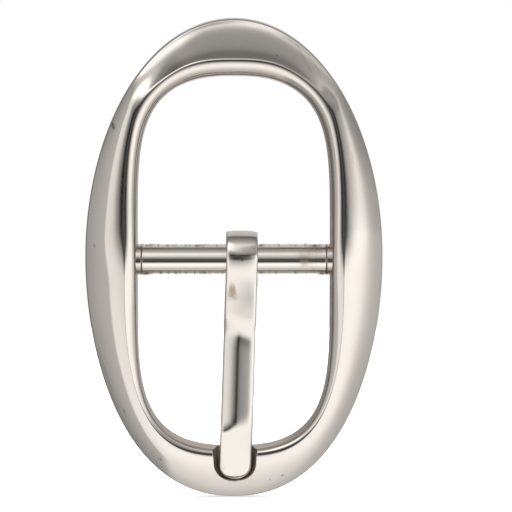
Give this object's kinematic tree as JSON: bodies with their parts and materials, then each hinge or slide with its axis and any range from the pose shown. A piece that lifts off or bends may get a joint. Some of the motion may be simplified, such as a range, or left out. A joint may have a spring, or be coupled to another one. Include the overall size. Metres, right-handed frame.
{
  "type": "belt buckle",
  "caption": "Oval ring belt buckle with a round centre bar, a hinged tongue on the bar and a U notch in the ring that seats the tongue's point.",
  "frame": {"origin": "on the bar's axis at its mid length, which is within half a millimetre of the box's centre", "axes": "+X along the bar, +Z towards the upper end of the ring, away from the tongue's point, -Y out of the front face"},
  "size_m": [0.042, 0.0074, 0.0678],
  "materials": {
    "frame_nickel": "polished nickel plate on a die casting, slightly worn",
    "bar_nickel": "nickel plate, duller than the ring, tarnished at its ends",
    "tongue_nickel": "polished nickel plate with fine scuffs"
  },
  "bodies": {
    "ring": {"frame": "frame_nickel", "bar": "bar_nickel"},
    "prong": {"tongue": "tongue_nickel"}
  },
  "joints": [
    {"name": "tongue_swing", "type": "hinge", "parent": "ring", "child": "prong", "pos_m": [0, 0, 0], "axis": [-1, 0, 0], "range_deg": [0, 173]}
  ]
}
